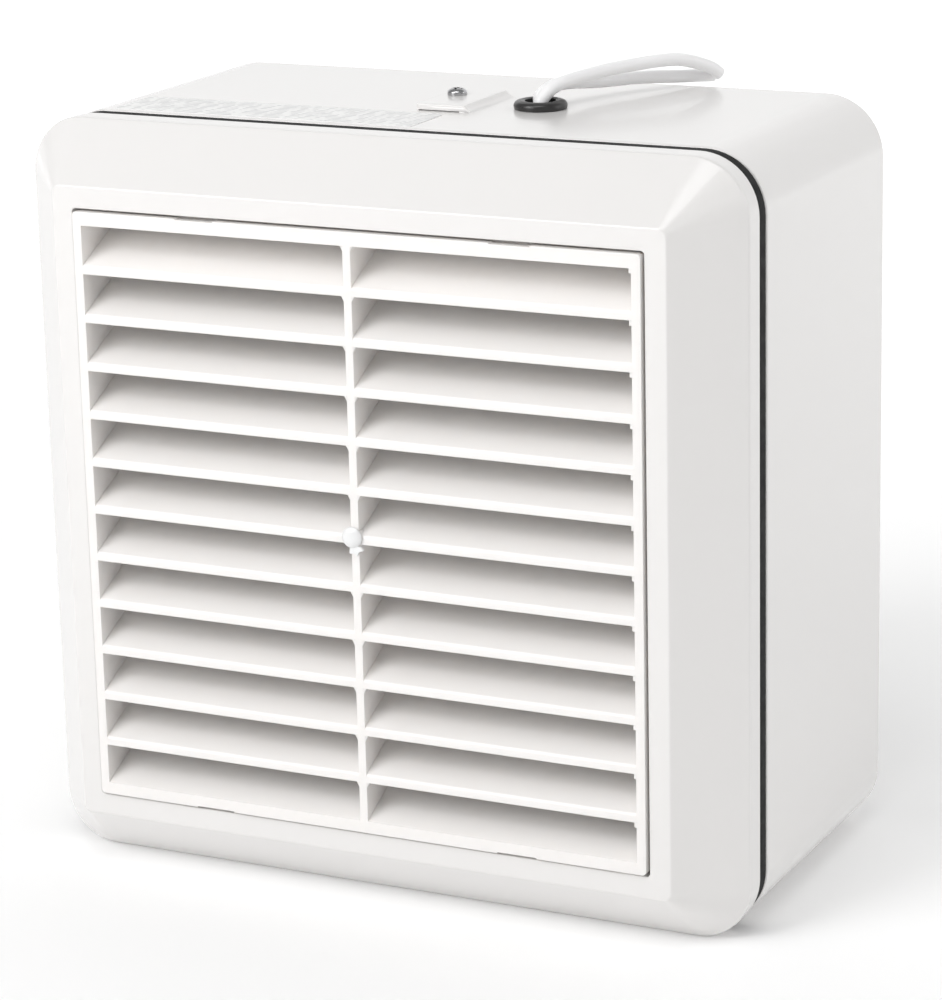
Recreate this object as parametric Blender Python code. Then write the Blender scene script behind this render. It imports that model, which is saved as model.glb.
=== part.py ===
"""A square bathroom extractor fan: front bezel with a snap-in louvre grille, a deep rear casing,
an axial impeller on a shaded-pole motor, and a back-draught shutter opened by an actuator.

Sizes are in millimetres and become metres where a mesh is made. Depth y is counted backwards
from the flat front face of the bezel, x and z from the centre of the square face.
"""
import math

import bmesh
import bpy
from mathutils import Matrix, Vector

METRES = 0.001
GAP = 0.3  # clearance between neighbouring pieces

# Square body
FACE = 120.0  # half of the 240 mm square
CORNER = 19.0  # outer corner radius
WALL = 2.5
CREASE = 102.0  # half width where the flat face turns into the sloped border
BORDER_DEPTH = 19.0
BEZEL_DEPTH = 27.1
CASING_FRONT = 33.0
CASING_BACK = 135.0
OPENING = 95.2  # half of the bezel's opening
RETURN_BACK = 24.0  # how deep the wall round the opening goes
TAB_Y = (20.5, 23.5)
TAB_INNER = 81.0
CORNER_STEPS = 5
SCREW_HOLE = 1.8  # radius

# Louvre grille
GRILLE = 94.5
GRILLE_PROUD = 0.8
GRILLE_DEPTH = 17.0
RAIL_SIDE = 2.9
CELL_TOP = 90.2
CELL_HEIGHT = 12.5
LIP_HEIGHT = 2.8
LOUVRES = 12
LOUVRE_SLOPE = math.tan(math.radians(26.0))
BLADE_THICK = 2.0
MULLION = 1.3  # half width
CLIPS = ((-51.8, 1), (53.2, 1), (-52.7, -1), (51.9, -1))  # x, and top or bottom rail
CLIP_HALF = 6.6
CLIP_BACK = 22.0

# Indicator lens
LENS_AT = (-0.8, 0.6)
LENS_FRONT = -3.0
LENS_HEAD = 3.3
LENS_STEM = 2.0
BOSS = 3.9
BOSS_FRONT = -1.1

# Duct spigot
SPIGOT_OUT = 73.5
SPIGOT_IN = 71.0
SPIGOT_END = 155.0
SPIGOT_FLANGE = 80.0

# Fittings on the top face
PAD_X = (-7.9, 9.8)
PAD_Y = (63.0, 94.0)
PAD_HIGH = 2.2
SCREW_AT = (-2.7, 81.4)
GROMMET_AT = (27.5, 78.0)
GROMMET_FLANGE = 8.4
GROMMET_NECK = 5.7
GROMMET_HIGH = 2.8
LABEL_X = (-100.0, 4.0)
LABEL_Y = (35.0, 58.5)

# Supply lead: two strands side by side, each 4.2 mm across its sheath
STRAND = 4.2
STRAND_OFFSET = 2.35  # half of the distance between the two centres in the grommet
STRAND_SIDE = (0.44, -0.9)  # direction from the grommet's centre to the front strand
LEAD_START = 114.0
LEAD_TOP = 120.0

# Inside: plate, motor, impeller
PLATE_FRONT = 60.0
TUNNEL = 77.0  # inner radius
TUNNEL_BACK = 97.5
POST_AT = 88.0  # bezel screws and their posts
PILLAR_AT = 104.0  # plate screws and the casing's pillars
ARM_AT = 64.0  # motor bracket's screws
BRACKET_BACK = PLATE_FRONT - 3.0 - GAP
SHAFT = 2.0
SHAFT_ENDS = (25.5, 96.0)
BUSH = 4.0
STACK = (34.0, 50.0)
ROTOR = 11.8
MOTOR_SCREW_X = 20.0
HUB = 24.0
HUB_Y = (66.0, 92.0)
IMPELLER_TIP = 75.0
IMPELLER_BLADES = 7
IMPELLER_MID = 79.0

# Back-draught shutter
SHUTTER_Y = 113.5
SHUTTER_PITCH = 30.0
SHUTTER_COUNT = 5
SHUTTER_HALF = 14.6
SHUTTER_FRAME_Y = (98.3, 128.6)
SHUTTER_IN_X = 79.0
SHUTTER_IN_Z = 76.0
SHUTTER_SCREW_AT = 85.0
CRANK = 10.0
CRANK_REST = math.radians(40.0)  # below the horizontal, the same amount above it when open
CRANK_Y = SHUTTER_Y - CRANK * math.cos(CRANK_REST)
CRANK_DROP = CRANK * math.sin(CRANK_REST)
LINK_X = (-77.2, -75.2)
DRIVE_Z = -15.0 - CRANK_DROP
ACTUATOR_X = -92.0
ACTUATOR_Z = (-75.0, -41.0)

# Where the part's own frame lies in the measures above
FRONT = LENS_FRONT
MIDDLE_Y = (FRONT + SPIGOT_END) / 2
CENTRE_Z = FACE

WHITE = (0.86, 0.86, 0.85)
COLOURS = {  # colour, roughness, metallic
    "white": (WHITE, 0.25, 0.0),
    "white_matt": ((0.78, 0.78, 0.76), 0.5, 0.0),
    "clear": ((0.9, 0.93, 0.95), 0.05, 0.0),
    "black_rubber": ((0.02, 0.02, 0.02), 0.7, 0.0),
    "label": ((0.8, 0.8, 0.78), 0.6, 0.0),
    "chrome": ((0.8, 0.8, 0.82), 0.15, 1.0),
    "steel": ((0.55, 0.55, 0.56), 0.35, 1.0),
    "iron": ((0.22, 0.23, 0.25), 0.5, 0.9),
    "copper": ((0.62, 0.28, 0.14), 0.35, 0.8),
    "brass": ((0.72, 0.56, 0.28), 0.35, 1.0),
    "grey": ((0.35, 0.36, 0.38), 0.5, 0.0),
    "sheath": ((0.85, 0.85, 0.87), 0.4, 0.0),
}


def clear_scene():
    for obj in list(bpy.data.objects):
        bpy.data.objects.remove(obj, do_unlink=True)


def in_frame(x, y, z):
    """A point of the part's own frame, in metres: origin under the middle of the body."""
    return Vector((x, y - MIDDLE_Y, z + CENTRE_Z)) * METRES


def material(kind):
    """One material for each kind of stuff, made the first time it is asked for."""
    found = bpy.data.materials.get(kind)
    if found:
        return found
    colour, roughness, metallic = COLOURS[kind]
    made = bpy.data.materials.new(kind)
    made.use_nodes = True
    shader = made.node_tree.nodes["Principled BSDF"]
    shader.inputs["Base Color"].default_value = (*colour, 1.0)
    shader.inputs["Roughness"].default_value = roughness
    shader.inputs["Metallic"].default_value = metallic
    return made


def solid(name, points, faces, kind="white"):
    """An object from points in the measures above, with its faces turned outwards."""
    bm = bmesh.new()
    verts = [bm.verts.new(in_frame(*p)) for p in points]
    for face in faces:
        bm.faces.new([verts[i] for i in face])
    bmesh.ops.recalc_face_normals(bm, faces=bm.faces)
    mesh = bpy.data.meshes.new(name)
    bm.to_mesh(mesh)
    bm.free()
    mesh.shade_smooth()
    mesh.set_sharp_from_angle(angle=math.radians(35))
    obj = bpy.data.objects.new(name, mesh)
    bpy.context.collection.objects.link(obj)
    mesh.materials.append(material(kind))
    return obj


def loft(name, loops, kind="white", ring=False):
    """A solid through loops of equally many points: capped at both ends, or closed into a ring."""
    count = len(loops[0])
    points = [p for loop in loops for p in loop]
    spans = len(loops) if ring else len(loops) - 1
    faces = []
    for i in range(spans):
        a, b = i * count, (i + 1) % len(loops) * count
        faces += [(a + j, a + (j + 1) % count, b + (j + 1) % count, b + j) for j in range(count)]
    if not ring:
        faces.append(tuple(range(count)))
        faces.append(tuple(range(len(points) - count, len(points))))
    return solid(name, points, faces, kind)


def square_loop(half_x, half_z, radius, y, steps=CORNER_STEPS):
    """A rounded rectangle about the body's middle axis, at depth y."""
    points = []
    for quarter, (sx, sz) in enumerate(((1, 1), (-1, 1), (-1, -1), (1, -1))):
        for step in range(steps + 1):
            turn = math.radians(90 * (quarter + step / steps))
            points.append((
                sx * (half_x - radius) + radius * math.cos(turn),
                y,
                sz * (half_z - radius) + radius * math.sin(turn),
            ))
    return points


def turned(name, profile, centre, axis="y", kind="white", sides=20, ring=False):
    """A solid of revolution. The profile's pairs are radius and place along the axis, and centre
    gives the two coordinates of the axis in x, y, z order. Without ring its ends are flat caps."""
    loops = []
    for radius, along in profile:
        loop = []
        for side in range(sides):
            turn = 2 * math.pi * side / sides
            c, s = radius * math.cos(turn), radius * math.sin(turn)
            if axis == "x":
                loop.append((along, centre[0] + c, centre[1] + s))
            elif axis == "y":
                loop.append((centre[0] + c, along, centre[1] + s))
            else:
                loop.append((centre[0] + c, centre[1] + s, along))
        loops.append(loop)
    return loft(name, loops, kind, ring)


def box(name, x, y, z, kind="white"):
    """A block between the pairs of limits x, y and z."""
    loops = [[(x[0], v, z[0]), (x[1], v, z[0]), (x[1], v, z[1]), (x[0], v, z[1])] for v in y]
    return loft(name, loops, kind)


def prism(name, outline, lo, hi, axis="x", kind="white"):
    """An outline swept along an axis: pairs are (y, z) for axis x and (x, z) for axis y."""
    if axis == "x":
        loops = [[(at, a, b) for a, b in outline] for at in (lo, hi)]
    else:
        loops = [[(a, at, b) for a, b in outline] for at in (lo, hi)]
    return loft(name, loops, kind)


def combine(obj, other, operation, solver):
    """Joins, or cuts, obj with other, which is used up."""
    step = obj.modifiers.new(operation, "BOOLEAN")
    step.operation = operation
    step.solver = solver
    step.object = other
    graph = bpy.context.evaluated_depsgraph_get()
    result = bpy.data.meshes.new_from_object(obj.evaluated_get(graph))
    obj.modifiers.clear()
    old, obj.data = obj.data, result
    bpy.data.meshes.remove(old)
    result.name = obj.name
    bpy.data.objects.remove(other, do_unlink=True)
    return obj


def join(obj, other, solver="EXACT"):
    return combine(obj, other, "UNION", solver)


def cut(obj, other, solver="EXACT"):
    return combine(obj, other, "DIFFERENCE", solver)


def hole(radius, centre, lo, hi, axis="y", sides=8):
    return turned("hole", [(radius, lo), (radius, hi)], centre, axis, sides=sides)


def set_origin(obj, x, y, z):
    """Moves the object's origin onto a joint's axis without moving its shape."""
    at = in_frame(x, y, z)
    obj.data.transform(Matrix.Translation(-at))
    obj.location = at


def corners(at):
    return [(sx * at, sz * at) for sx, sz in ((-1, 1), (1, 1), (1, -1), (-1, -1))]


def screw(name, centre, head_face, tip, head=3.3, high=2.3, shank=1.5, axis="y", kind="steel"):
    """A pan-head screw: head_face is where its head bears, and tip the end of its shank."""
    away = -1 if tip > head_face else 1
    profile = [
        (head * 0.55, head_face + away * high),
        (head, head_face + away * high * 0.55),
        (head, head_face),
        (shank, head_face),
        (shank, tip),
    ]
    return turned(name, profile, centre, axis, kind, sides=8)


def smooth_path(points):
    """The given points with the middle of each span of a Catmull-Rom curve between them."""
    ends = [2 * Vector(points[0]) - Vector(points[1])]
    knots = ends + [Vector(p) for p in points] + [2 * Vector(points[-1]) - Vector(points[-2])]
    path = []
    for a, b, c, d in zip(knots, knots[1:], knots[2:], knots[3:]):
        path += [b, (9 * (b + c) - a - d) / 16]
    return path + [knots[-2]]


def cable(name, points, radius, kind, resolution=2):
    """A round cable along a smooth path through the points, with closed ends."""
    path = smooth_path(points)
    curve = bpy.data.curves.new(name, "CURVE")
    curve.dimensions = "3D"
    curve.bevel_depth = radius * METRES
    curve.bevel_resolution = resolution
    curve.use_fill_caps = True
    spline = curve.splines.new("POLY")
    spline.points.add(len(path) - 1)
    for point, at in zip(spline.points, path):
        point.co = (*in_frame(*at), 1.0)
    obj = bpy.data.objects.new(name, curve)
    bpy.context.collection.objects.link(obj)
    curve.materials.append(material(kind))
    return obj


def make_bezel():
    """The front frame: an outer shell whose sloped border runs into rounded corners, an inner
    return wall round the opening, and four screw tabs in the opening's corners."""
    inner = FACE - WALL
    section = (  # half width, corner radius, depth, round the wall
        (OPENING, 1.0, 0.0),
        (CREASE, 2.0, 0.0),
        (FACE, CORNER - 1.0, BORDER_DEPTH),
        (FACE, CORNER - 0.5, BEZEL_DEPTH),
        (inner, CORNER - WALL, BEZEL_DEPTH),
        (inner, CORNER - WALL, BORDER_DEPTH + 1.0),
        (CREASE - 1.0, 2.0, WALL),
        (OPENING + WALL, 2.0, WALL),
        (OPENING + WALL, 2.0, RETURN_BACK),
        (OPENING, 1.0, RETURN_BACK),
    )
    bezel = loft("front_bezel", [square_loop(w, w, r, y) for w, r, y in section], ring=True)
    for x, z in corners(POST_AT):
        sx, sz = math.copysign(1, x), math.copysign(1, z)
        limits_x = sorted((sx * TAB_INNER, sx * (OPENING + 1.2)))
        limits_z = sorted((sz * TAB_INNER, sz * (OPENING + 1.2)))
        join(bezel, box("tab", limits_x, TAB_Y, limits_z))
        cut(bezel, hole(2.0, (x, z), TAB_Y[0] - 2, TAB_Y[1] + 2))


def make_grille():
    """The snap-in insert: outer frame, mullion, twelve sloped blades, clip tongues and lens boss."""
    front, back = -GRILLE_PROUD, GRILLE_DEPTH
    inner = GRILLE - RAIL_SIDE
    bottom = CELL_TOP - (LOUVRES - 1) * (CELL_HEIGHT + LIP_HEIGHT) - CELL_HEIGHT
    grille = loft("louvre_grille", [square_loop(GRILLE, GRILLE, 1.0, y, 2) for y in (front, back)])
    cut(grille, box("window", (-inner, inner), (front - 1, back + 1), (bottom, CELL_TOP)))
    join(grille, box("mullion", (-MULLION, MULLION), (front, back), (bottom - 1, CELL_TOP + 1)))
    rise = (back - front) * LOUVRE_SLOPE
    for row in range(LOUVRES):
        top = CELL_TOP - CELL_HEIGHT - row * (CELL_HEIGHT + LIP_HEIGHT)
        outline = (
            (front, top - LIP_HEIGHT),
            (0.7, top - LIP_HEIGHT),
            (1.7, top - BLADE_THICK + 1.2),
            (back, top + rise - BLADE_THICK),
            (back, top + rise),
            (front, top),
        )
        join(grille, prism("blade", outline, -inner - 1, inner + 1))
    for x, side in CLIPS:
        limits = sorted((side * (GRILLE - 1.6), side * GRILLE))
        join(grille, box("tongue", (x - CLIP_HALF, x + CLIP_HALF), (back - 6, CLIP_BACK), limits))
    join(grille, turned("boss", [(BOSS, BOSS_FRONT), (BOSS, 9.0)], LENS_AT, sides=16))
    cut(grille, hole(LENS_STEM + GAP, LENS_AT, BOSS_FRONT - 1, back + 8, sides=12))


def make_lens():
    profile = (
        (1.6, LENS_FRONT),
        (2.8, LENS_FRONT + 0.4),
        (LENS_HEAD, LENS_FRONT + 1.0),
        (LENS_HEAD, BOSS_FRONT - GAP),
        (LENS_STEM, BOSS_FRONT - GAP),
        (LENS_STEM, 12.0),
    )
    turned("indicator_lens", profile, LENS_AT, kind="clear", sides=12)


def make_gasket():
    y0, y1 = BEZEL_DEPTH + GAP, CASING_FRONT - GAP
    outer, inner = FACE - 0.3, FACE - 5.5
    section = ((outer, y0), (outer, y1), (inner, y1), (inner, y0))
    loops = [square_loop(w, w, CORNER - (FACE - w), y) for w, y in section]
    loft("front_gasket", loops, "black_rubber", ring=True)


def make_casing():
    """The rear box: a cup with a round outlet, a pad on top, pillars and bosses on its back wall."""
    inner, radius = FACE - WALL, CORNER - WALL
    floor = CASING_BACK - WALL
    loops = [
        square_loop(inner, inner, radius, floor),
        square_loop(inner, inner, radius, CASING_FRONT),
        square_loop(FACE, FACE, CORNER, CASING_FRONT),
        square_loop(FACE, FACE, CORNER, CASING_BACK),
    ]
    casing = loft("rear_casing", loops)
    pad = box("pad", PAD_X, PAD_Y, (FACE - 1, FACE + PAD_HIGH))
    join(casing, pad)
    for x, z in corners(PILLAR_AT):
        top = PLATE_FRONT + WALL + GAP
        join(casing, turned("pillar", [(5.0, top), (5.0, floor + 1)], (x, z), sides=12))
        cut(casing, hole(SCREW_HOLE, (x, z), top - 1, top + 16))
    for x, z in corners(SHUTTER_SCREW_AT):
        top = SHUTTER_FRAME_Y[1] + GAP
        join(casing, turned("boss", [(4.0, top), (4.0, floor + 1)], (x, z), sides=12))
        cut(casing, hole(SCREW_HOLE, (x, z), top - 1, floor + 0.5))
    cut(casing, hole(SPIGOT_OUT + GAP, (0, 0), floor - 1, CASING_BACK + 1, sides=40))
    cut(casing, hole(GROMMET_NECK + GAP, GROMMET_AT, FACE - 6, FACE + 6, "z", 20))
    cut(casing, hole(2.05, SCREW_AT, FACE - 6, FACE + 6, "z"))


def make_spigot():
    floor = CASING_BACK - WALL - GAP
    profile = (
        (SPIGOT_IN, floor - 3.0),
        (SPIGOT_FLANGE, floor - 3.0),
        (SPIGOT_FLANGE, floor),
        (SPIGOT_OUT, floor),
        (SPIGOT_OUT, SPIGOT_END),
        (SPIGOT_IN, SPIGOT_END),
    )
    turned("duct_spigot", profile, (0, 0), sides=40, ring=True)


def make_top_fittings():
    """The screw and its pad, the grommet with its slot for both strands, and the label."""
    screw("case_screw", SCREW_AT, FACE + PAD_HIGH + GAP, 111.0, head=3.2, shank=1.75, axis="z",
          kind="chrome")
    box("rating_label", LABEL_X, LABEL_Y, (FACE + GAP, FACE + GAP + 0.25), "label")
    under = FACE - WALL - GAP
    profile = (
        (6.3, FACE + GROMMET_HIGH),
        (7.7, FACE + GROMMET_HIGH - 0.5),
        (GROMMET_FLANGE, FACE + 1.3),
        (GROMMET_FLANGE - 0.3, FACE + GAP),
        (GROMMET_NECK, FACE + GAP),
        (GROMMET_NECK, under),
        (7.6, under),
        (6.6, under - 2.6),
    )
    grommet = turned("cable_grommet", profile, GROMMET_AT, "z", "black_rubber")
    cut(grommet, slot_solid(STRAND / 2 + GAP, FACE - 8, FACE + 6))
    cut(grommet, slot_solid(STRAND / 2 + 1.0, FACE + 1.0, FACE + 6))


def slot_solid(radius, lo, hi):
    """An upright solid with round ends, about both strands in the grommet."""
    turn = math.atan2(STRAND_SIDE[1], STRAND_SIDE[0])
    outline = []
    for end in (0, 1):
        for step in range(7):
            angle = turn + math.pi * (end - 0.5 + step / 6)
            shift = STRAND_OFFSET * (1 - 2 * end)
            outline.append((
                GROMMET_AT[0] + shift * math.cos(turn) + radius * math.cos(angle),
                GROMMET_AT[1] + shift * math.sin(turn) + radius * math.sin(angle),
            ))
    return loft("slot", [[(x, y, z) for x, y in outline] for z in (lo, hi)])


def strand_at(side, x, y, z):
    """A point of one strand in the grommet: side is +1 for the front strand and -1 for the rear."""
    return (
        x + side * STRAND_OFFSET * STRAND_SIDE[0],
        y + side * STRAND_OFFSET * STRAND_SIDE[1],
        z,
    )


# Both strands' routes on the top face. The front one arches over, and the rear one lies lower.
FRONT_ROUTE = (
    (28.8, 76.3, 123.0), (31.6, 81.4, 126.9), (37.6, 95.8, 128.7), (45.4, 111.6, 129.5),
    (54.0, 124.3, 129.5), (60.4, 133.6, 126.3), (63.0, 137.4, 123.4),
)
REAR_ROUTE = (
    (26.6, 80.5, 123.7), (29.6, 87.9, 126.2), (36.2, 103.4, 124.9), (43.9, 117.0, 124.4),
    (52.3, 129.4, 123.3), (59.6, 140.1, 122.4),
)


def make_leads():
    """The two strands from under the grommet to their cut ends, and their tails inside."""
    x, y = GROMMET_AT
    for side, colour, route in ((1, "blue", FRONT_ROUTE), (-1, "brown", REAR_ROUTE)):
        start = [strand_at(side, x, y, z) for z in (LEAD_START, LEAD_TOP)]
        cable(f"supply_lead_{colour}", start + list(route), STRAND / 2, "sheath")
        inner_x, inner_y, _ = start[0]
        tail = [
            (inner_x, inner_y, LEAD_START - GAP),
            (inner_x - 0.9, inner_y - 0.2, LEAD_START - 4.6),
            (inner_x - 4.4, inner_y - 1.0, LEAD_START - 9.2),
            (14.5, inner_y - 1.4, LEAD_START - 10.0),
        ]
        cable(f"lead_tail_{colour}", tail, STRAND / 2, "sheath")


def make_plate():
    """The fan plate: a square bulkhead with a bell-mouthed tunnel, posts and bosses. The EXACT
    solver leaves open edges where so many round shapes cross one flat, so these use MANIFOLD."""
    edge = FACE - WALL - 0.4
    back = PLATE_FRONT + WALL
    solver = "MANIFOLD"
    plate = loft("fan_plate", [
        square_loop(edge, edge, CORNER - WALL - 0.4, y) for y in (PLATE_FRONT, back)
    ])
    cut(plate, hole(TUNNEL + 6.6, (0, 0), PLATE_FRONT - 1, back + 1, sides=32), solver)
    outer = TUNNEL + WALL
    throat = (
        (TUNNEL, TUNNEL_BACK), (TUNNEL, 67.0), (TUNNEL + 2.4, 61.8), (TUNNEL + 8.0, 59.2),
        (TUNNEL + 8.0, 61.5), (TUNNEL + 4.3, 63.2), (outer, 67.0), (outer, TUNNEL_BACK),
    )
    join(plate, turned("throat", throat, (0, 0), sides=32, ring=True), solver)
    for x, z in corners(POST_AT):
        post = [(4.5, 23.8), (4.5, back - 0.5)]
        join(plate, turned("post", post, (x, z), sides=12), solver)
        cut(plate, hole(SCREW_HOLE, (x, z), 23.0, 40.0), solver)
    for x, z in corners(ARM_AT):
        boss = [(4.5, PLATE_FRONT - 3), (4.5, back - 0.5)]
        join(plate, turned("boss", boss, (x, z), sides=12), solver)
        cut(plate, hole(SCREW_HOLE, (x, z), PLATE_FRONT - 4, back + 1), solver)
    for x, z in corners(PILLAR_AT):
        cut(plate, hole(SCREW_HOLE, (x, z), PLATE_FRONT - 1, back + 1), solver)
    slot = box("wire_slot", (-40.0, -32.0), (PLATE_FRONT - 1, back + 1), (97.0, 107.0))
    cut(plate, slot, solver)


def make_motor_bracket():
    """Two crossed bars with a middle disc. The motor is bolted to its front."""
    front, back = BRACKET_BACK - 2.5, BRACKET_BACK
    reach, half = ARM_AT * math.sqrt(2) + 5.0, 4.5
    slant = math.sqrt(0.5)
    bracket = turned("motor_bracket", [(30.0, front), (30.0, back)], (0, 0), kind="steel", sides=24)
    for sign in (1, -1):
        bar = [(-reach, -half), (reach, -half), (reach, half), (-reach, half)]
        outline = [(slant * (a - sign * b), slant * (sign * a + b)) for a, b in bar]
        join(bracket, prism("arm", outline, front, back, axis="y"))
    for x, z in corners(ARM_AT):
        cut(bracket, hole(SCREW_HOLE, (x, z), front - 1, back + 1))
    cut(bracket, hole(8.0 + GAP, (0, 0), front - 1, back + 1, sides=20))
    for x in (-MOTOR_SCREW_X, MOTOR_SCREW_X):
        cut(bracket, hole(SCREW_HOLE, (x, 0), front - 1, back + 1))


def make_motor():
    """A shaded-pole motor: core with the coil on its lower leg, rotor, shaft and bearings."""
    y0, y1 = STACK
    core = box("stator_core", (-24, 24), STACK, (-34, 22), "iron")
    cut(core, hole(ROTOR + 0.5, (0, 0), y0 - 1, y1 + 1, sides=24))
    cut(core, box("window", (-14.2, 14.2), (y0 - 1, y1 + 1), (-26, -16)))
    for x in (-MOTOR_SCREW_X, MOTOR_SCREW_X):
        cut(core, hole(SCREW_HOLE, (x, 0), y0 - 1, y1 + 1))

    def leg_ring(name, x, out, into, kind):
        """A rectangular ring about the core's lower leg, out and into mm away from its surface."""
        limits = [((y0 - d, y1 + d), (-34 - d, -26 + d)) for d in (out, into)]
        ring = box(name, x, *limits[0], kind)
        return cut(ring, box("leg", (x[0] - 1, x[1] + 1), *limits[1]))

    bobbin = leg_ring("coil_bobbin", (-13.9, 13.9), 1.2, GAP, "white_matt")
    for x in ((-13.9, -12.7), (12.7, 13.9)):
        join(bobbin, leg_ring("flange", x, 3.7, GAP, "white_matt"))
    leg_ring("coil_winding", (-12.4, 12.4), 3.2, 1.5, "copper")

    turned("motor_rotor", [(SHAFT + GAP, y0 + 1), (ROTOR, y0 + 1), (ROTOR, y1 - 1), (SHAFT + GAP, y1 - 1)],
           (0, 0), kind="steel", sides=24, ring=True)
    turned("motor_shaft", [(SHAFT, y) for y in SHAFT_ENDS], (0, 0), kind="steel", sides=12)
    boss_ends = {"front": (y0 - GAP, y0 - 7.0), "rear": (y1 + GAP, BRACKET_BACK + 1.5)}
    for end, (near, far) in boss_ends.items():
        away = 1 if far > near else -1
        plate = sorted((near, near + away * 2.5))
        bracket = box(f"{end}_bearing_bracket", (-24, 24), plate, (-9, 9), "steel")
        join(bracket, turned("boss", [(8.0, v) for v in sorted((near, far))], (0, 0)))
        cut(bracket, hole(BUSH + GAP, (0, 0), min(near, far) - 1, max(near, far) + 1, sides=16))
        for x in (-MOTOR_SCREW_X, MOTOR_SCREW_X):
            cut(bracket, hole(SCREW_HOLE, (x, 0), plate[0] - 1, plate[1] + 1))
        lo, hi = sorted((near + away * GAP, far - away * GAP))
        profile = [(SHAFT + GAP, lo), (BUSH, lo), (BUSH, hi), (SHAFT + GAP, hi)]
        turned(f"{end}_bearing", profile, (0, 0), kind="brass", sides=16, ring=True)
    for side, x in (("left", -MOTOR_SCREW_X), ("right", MOTOR_SCREW_X)):
        screw(f"motor_screw_{side}", (x, 0), y0 - GAP - 2.5 - GAP, BRACKET_BACK + 1.0)


def impeller_blade(start):
    """One twisted blade between the hub and the tip circle, starting at an angle round the axis."""
    radii = (HUB - 1.2, 48.0, IMPELLER_TIP)
    chord_steps = 5
    thick = 0.9
    loops = []
    for radius in radii:
        share = (radius - radii[0]) / (radii[-1] - radii[0])
        pitch = math.radians(46 - 22 * share)
        chord = 26 + 18 * share
        sides = ([], [])
        for step in range(chord_steps):
            along = chord * (step / (chord_steps - 1) - 0.5)
            camber = 0.08 * chord * (1 - (2 * along / chord) ** 2)
            for side, half in zip(sides, (thick, -thick)):
                rise = camber + half * (1 - 0.5 * abs(2 * along / chord))
                across = along * math.cos(pitch) - rise * math.sin(pitch)
                depth = along * math.sin(pitch) + rise * math.cos(pitch)
                turn = start + across / radius
                side.append((radius * math.cos(turn), IMPELLER_MID + depth, radius * math.sin(turn)))
        loops.append(sides[0] + sides[1][::-1])
    return loft("blade", loops)


def make_impeller():
    lo, hi = HUB_Y
    hub = turned("impeller", [(HUB - 2, lo), (HUB, lo + 2), (HUB, hi - 2), (HUB - 2, hi - 2),
                              (HUB - 2, lo + 3), (7.0, lo + 3), (7.0, hi), (SHAFT + GAP, hi),
                              (SHAFT + GAP, lo)], (0, 0), kind="grey", ring=True)
    for number in range(IMPELLER_BLADES):
        join(hub, impeller_blade(2 * math.pi * number / IMPELLER_BLADES))
    nut = [(4.2, HUB_Y[1] + GAP), (4.2, SHAFT_ENDS[1] - 1.0)]
    nut = turned("impeller_nut", nut, (0, 0), kind="brass", sides=6)
    cut(nut, hole(SHAFT + GAP, (0, 0), HUB_Y[1] - 1, SHAFT_ENDS[1] + 1, sides=12))


def shutter_heights():
    middle = (SHUTTER_COUNT - 1) / 2
    return [SHUTTER_PITCH * (middle - number) for number in range(SHUTTER_COUNT)]


def make_shutter_frame():
    """The square frame with pivot holes, a window for the drive pin and a flange with screw holes."""
    y0, y1 = SHUTTER_FRAME_Y
    wall = 3.0
    frame = box("shutter_frame", (-SHUTTER_IN_X - wall, SHUTTER_IN_X + wall), (y0, y1),
                (-SHUTTER_IN_Z - wall, SHUTTER_IN_Z + wall))
    join(frame, box("flange", (-90, 90), (y1 - 2.6, y1), (-90, 90)))
    cut(frame, box("inside", (-SHUTTER_IN_X, SHUTTER_IN_X), (y0 - 1, y1 + 1),
                   (-SHUTTER_IN_Z, SHUTTER_IN_Z)))
    for z in shutter_heights():
        for x in (-SHUTTER_IN_X - 5, SHUTTER_IN_X - 1):
            cut(frame, hole(2.1, (SHUTTER_Y, z), x, x + 6, "x"))
    for x, z in corners(SHUTTER_SCREW_AT):
        cut(frame, hole(SCREW_HOLE, (x, z), y1 - 4, y1 + 1))
    window_y = (CRANK_Y - CRANK * (1 - math.cos(CRANK_REST)) - 2.2, CRANK_Y + 2.2)
    window_z = (DRIVE_Z - 2.2, DRIVE_Z + 2 * CRANK_DROP + 2.2)
    cut(frame, box("pin_window", (-SHUTTER_IN_X - 5, -SHUTTER_IN_X + 1), window_y, window_z))


def make_shutter_blades():
    """Each blade turns about its middle, and carries a crank arm and pin at its left end."""
    left, right = -72.5, SHUTTER_IN_X - 0.6
    for number, z in enumerate(shutter_heights(), 1):
        outline = ((-0.8, -SHUTTER_HALF), (0.8, -SHUTTER_HALF), (0.8, SHUTTER_HALF), (-0.8, SHUTTER_HALF))
        outline = [(SHUTTER_Y + a, z + b) for a, b in outline]
        blade = prism(f"shutter_blade_{number}", outline, left, right)
        join(blade, hole(2.4, (SHUTTER_Y, z), left - 2.0, right, "x"))
        join(blade, hole(1.8, (SHUTTER_Y, z), -SHUTTER_IN_X - 2.7, SHUTTER_IN_X + 2.7, "x"))
        slant = Vector((SHUTTER_Y - CRANK_Y, CRANK_DROP)).normalized()
        across = Vector((-slant.y, slant.x))
        ends = (Vector((SHUTTER_Y, z)), Vector((CRANK_Y, z - CRANK_DROP)) - 2.4 * slant)
        arm = [ends[0] + 2.6 * across, ends[1] + 2.4 * across, ends[1] - 2.4 * across,
               ends[0] - 2.6 * across]
        join(blade, prism("arm", [tuple(p) for p in arm], left - 2.0, left + 0.8))
        pin = hole(1.5, (CRANK_Y, z - CRANK_DROP), LINK_X[0] - 0.4, left - 1.0, "x")
        join(blade, pin)
        set_origin(blade, 0, SHUTTER_Y, z)


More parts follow.
